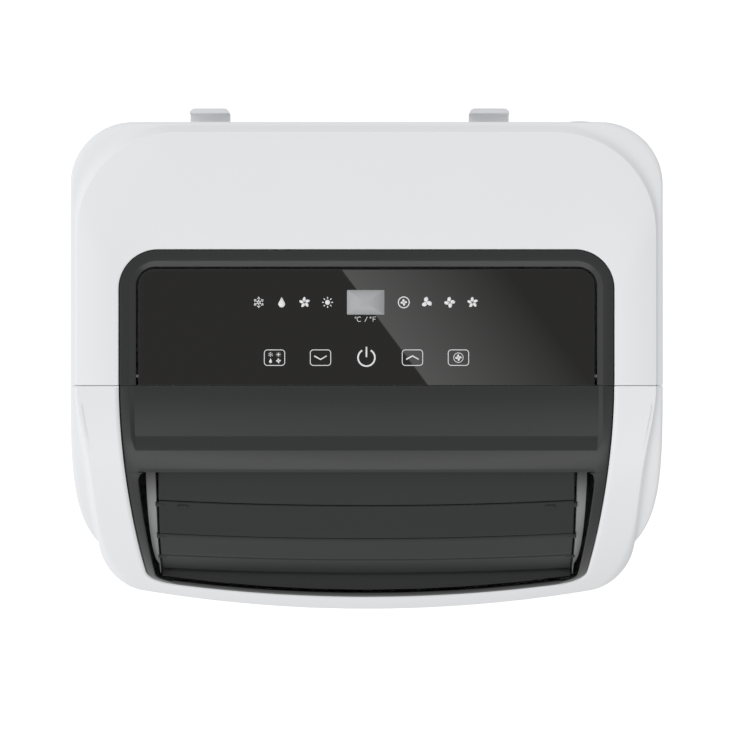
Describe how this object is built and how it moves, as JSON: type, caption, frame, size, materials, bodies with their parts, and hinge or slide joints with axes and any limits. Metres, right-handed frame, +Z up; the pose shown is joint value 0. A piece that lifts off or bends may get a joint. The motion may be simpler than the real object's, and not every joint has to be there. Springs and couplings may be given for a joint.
{
  "type": "portable air conditioner",
  "caption": "Portable air conditioner on castors with a rounded hood, tilting outlet louvres, a flat touch panel in the top and a round hose outlet at the back.",
  "frame": {"origin": "middle of the whole footprint, on the floor under the castor wheels", "axes": "+X to the right seen from above with the front towards the viewer, -Y out of the front, +Z up"},
  "size_m": [0.436, 0.399, 0.7],
  "materials": {
    "white_abs": "satin moulded ABS",
    "dark_abs": "fine matt moulded ABS",
    "black_glass": "high gloss black panel",
    "silver_abs": "silver painted ABS",
    "grey_abs": "grey moulded ABS",
    "black_rubber": "soft matt rubber",
    "steel": "plated steel",
    "copper": "bare copper tube",
    "aluminium": "bare fin stock",
    "black_metal": "black enamel",
    "board": "solder mask",
    "foam": "expanded foam",
    "filter_net": "nylon net in a frame"
  },
  "bodies": {
    "casing": {"front_shell": "white_abs", "rear_shell": "white_abs", "lower_grille": "white_abs", "cord_hook_left": "white_abs", "cord_hook_right": "white_abs", "outlet_sill": "dark_abs", "outlet_frame": "dark_abs", "control_bezel": "dark_abs", "control_glass": "black_glass", "outlet_cheek_left": "silver_abs", "outlet_cheek_right": "silver_abs", "base_pan": "grey_abs", "handle_cup_left": "grey_abs", "handle_cup_right": "grey_abs", "exhaust_collar": "grey_abs", "exhaust_sleeve": "grey_abs", "drain_spigot_upper": "grey_abs", "drain_spigot_lower": "grey_abs", "control_tray": "grey_abs", "outlet_duct": "grey_abs", "outlet_guard": "grey_abs", "divider_tray": "grey_abs", "electrical_box": "grey_abs", "cord_gland": "black_rubber", "louvre_motor": "steel", "blower_motor": "steel", "exhaust_fan_motor": "steel", "compressor": "black_metal", "accumulator": "black_metal", "suction_pipe": "copper", "discharge_pipe": "copper", "evaporator": "aluminium", "condenser": "aluminium", "capacitor": "aluminium", "control_board": "board", "blower_housing": "foam", "exhaust_fan_housing": "foam"},
    "intake_cover": {"intake_cover": "white_abs", "air_filter": "filter_net"},
    "louvre_link": {"louvre_link": "grey_abs"},
    "blower_wheel": {"blower_wheel": "grey_abs"},
    "exhaust_fan_wheel": {"exhaust_fan_wheel": "grey_abs"},
    "drain_cap_upper": {"drain_cap_upper": "black_rubber"},
    "drain_cap_lower": {"drain_cap_lower": "black_rubber"},
    "louvre_1": {"louvre_1": "dark_abs"},
    "louvre_2": {"louvre_2": "dark_abs"},
    "louvre_3": {"louvre_3": "dark_abs"},
    "louvre_4": {"louvre_4": "dark_abs"},
    "castor_rear_left": {"castor_fork_rear_left": "black_metal", "castor_axle_rear_left": "steel"},
    "wheel_rear_left": {"castor_wheel_rear_left": "black_rubber"},
    "castor_rear_right": {"castor_fork_rear_right": "black_metal", "castor_axle_rear_right": "steel"},
    "wheel_rear_right": {"castor_wheel_rear_right": "black_rubber"},
    "castor_front_left": {"castor_fork_front_left": "black_metal", "castor_axle_front_left": "steel"},
    "wheel_front_left": {"castor_wheel_front_left": "black_rubber"},
    "castor_front_right": {"castor_fork_front_right": "black_metal", "castor_axle_front_right": "steel"},
    "wheel_front_right": {"castor_wheel_front_right": "black_rubber"}
  },
  "joints": [
    {"name": "louvre_1_tilt", "type": "hinge", "parent": "casing", "child": "louvre_1", "pos_m": [0, -0.08614, 0.67621], "axis": [-1, 0, 0], "range_deg": [0, 40]},
    {"name": "louvre_2_tilt", "type": "hinge", "parent": "casing", "child": "louvre_2", "pos_m": [0, -0.11442, 0.66506], "axis": [-1, 0, 0], "range_deg": [0, 40]},
    {"name": "louvre_3_tilt", "type": "hinge", "parent": "casing", "child": "louvre_3", "pos_m": [0, -0.13827, 0.64563], "axis": [-1, 0, 0], "range_deg": [0, 40]},
    {"name": "louvre_4_tilt", "type": "hinge", "parent": "casing", "child": "louvre_4", "pos_m": [0, -0.1542, 0.61869], "axis": [-1, 0, 0], "range_deg": [0, 40]},
    {"name": "louvre_link_swing", "type": "hinge", "parent": "louvre_1", "child": "louvre_link", "pos_m": [-0.135, -0.07895, 0.66926], "axis": [-1, 0, 0], "range_deg": [-40, 0]},
    {"name": "blower_spin", "type": "hinge", "parent": "casing", "child": "blower_wheel", "pos_m": [0, -0.123, 0.462], "axis": [0, 1, 0], "continuous": true},
    {"name": "exhaust_fan_spin", "type": "hinge", "parent": "casing", "child": "exhaust_fan_wheel", "pos_m": [0.012, 0.0575, 0.155], "axis": [0, 1, 0], "continuous": true},
    {"name": "intake_cover_open", "type": "hinge", "parent": "casing", "child": "intake_cover", "pos_m": [0, 0.1675, 0.3756], "axis": [-1, 0, 0], "range_deg": [0, 60]},
    {"name": "drain_cap_upper_pull", "type": "slide", "parent": "casing", "child": "drain_cap_upper", "axis": [0, 1, 0], "range_m": [0, 0.025]},
    {"name": "drain_cap_lower_pull", "type": "slide", "parent": "casing", "child": "drain_cap_lower", "axis": [0, 1, 0], "range_m": [0, 0.025]},
    {"name": "castor_rear_left_swivel", "type": "hinge", "parent": "casing", "child": "castor_rear_left", "pos_m": [-0.15, 0.1225, 0.0462], "axis": [0, 0, 1], "continuous": true},
    {"name": "wheel_rear_left_roll", "type": "hinge", "parent": "castor_rear_left", "child": "wheel_rear_left", "pos_m": [-0.15, 0.1345, 0.018], "axis": [1, 0, 0], "continuous": true},
    {"name": "castor_rear_right_swivel", "type": "hinge", "parent": "casing", "child": "castor_rear_right", "pos_m": [0.15, 0.1225, 0.0462], "axis": [0, 0, 1], "continuous": true},
    {"name": "wheel_rear_right_roll", "type": "hinge", "parent": "castor_rear_right", "child": "wheel_rear_right", "pos_m": [0.15, 0.1345, 0.018], "axis": [1, 0, 0], "continuous": true},
    {"name": "castor_front_left_swivel", "type": "hinge", "parent": "casing", "child": "castor_front_left", "pos_m": [-0.15, -0.1245, 0.0462], "axis": [0, 0, 1], "continuous": true},
    {"name": "wheel_front_left_roll", "type": "hinge", "parent": "castor_front_left", "child": "wheel_front_left", "pos_m": [-0.15, -0.1125, 0.018], "axis": [1, 0, 0], "continuous": true},
    {"name": "castor_front_right_swivel", "type": "hinge", "parent": "casing", "child": "castor_front_right", "pos_m": [0.15, -0.1245, 0.0462], "axis": [0, 0, 1], "continuous": true},
    {"name": "wheel_front_right_roll", "type": "hinge", "parent": "castor_front_right", "child": "wheel_front_right", "pos_m": [0.15, -0.1125, 0.018], "axis": [1, 0, 0], "continuous": true}
  ],
  "couplings": [
    {"joint": "louvre_2_tilt", "follows": "louvre_1_tilt", "ratio": 1},
    {"joint": "louvre_3_tilt", "follows": "louvre_1_tilt", "ratio": 1},
    {"joint": "louvre_4_tilt", "follows": "louvre_1_tilt", "ratio": 1},
    {"joint": "louvre_link_swing", "follows": "louvre_1_tilt", "ratio": -1}
  ]
}
